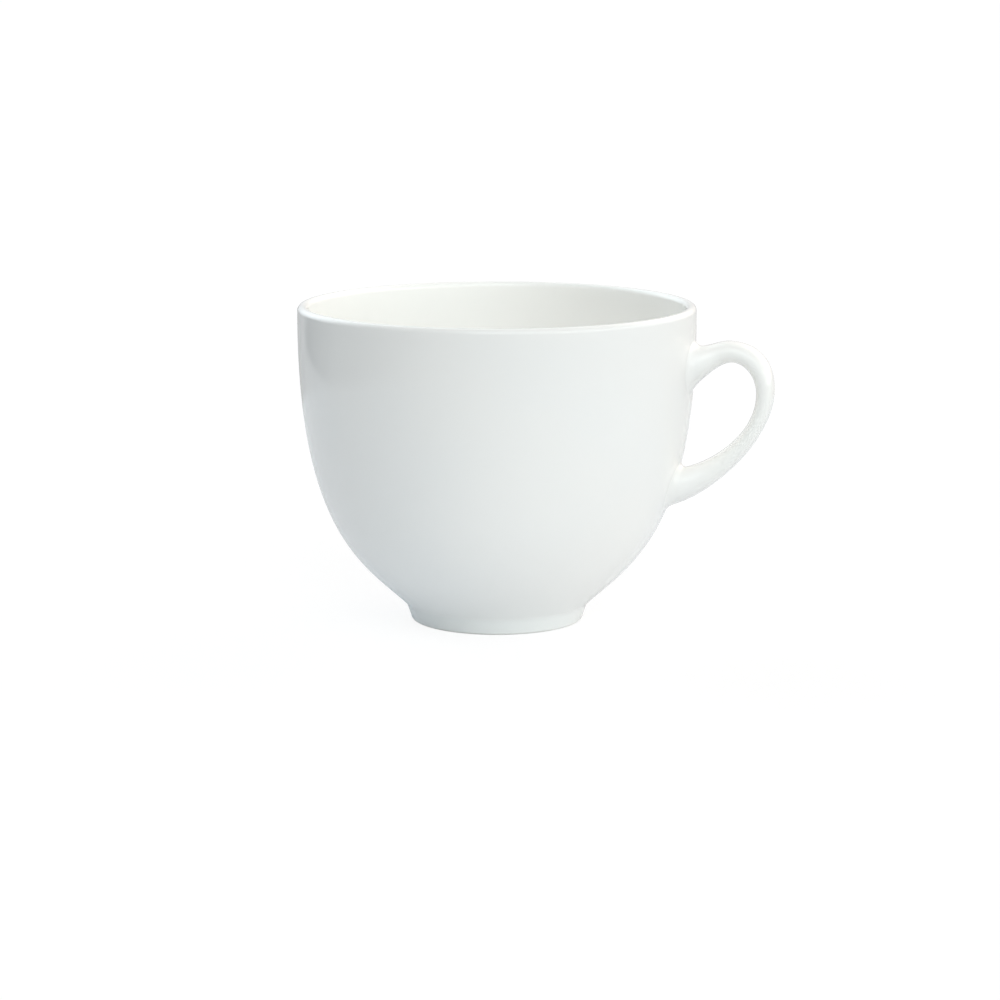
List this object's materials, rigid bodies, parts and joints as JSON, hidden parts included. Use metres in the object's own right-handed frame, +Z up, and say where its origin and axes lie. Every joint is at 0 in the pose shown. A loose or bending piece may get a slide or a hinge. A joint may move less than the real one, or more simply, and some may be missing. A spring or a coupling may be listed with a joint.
{
  "type": "teacup",
  "caption": "Thin-walled china teacup with a rounded bowl, a low foot ring and a looped side handle, for holding a hot drink.",
  "frame": {"origin": "centre of the foot ring, on the plane that the cup stands on", "axes": "+Z up along the bowl's axis, +X towards the middle of the handle, +Y across the handle"},
  "size_m": [0.1033, 0.086, 0.069],
  "materials": {
    "glazed_china": "gloss",
    "fired_slip": "gloss"
  },
  "bodies": {
    "root": {"bowl": "glazed_china", "foot_ring": "glazed_china", "foot_slip_joint": "fired_slip", "handle": "glazed_china", "upper_slip_joint": "fired_slip", "lower_slip_joint": "fired_slip"}
  },
  "joints": []
}
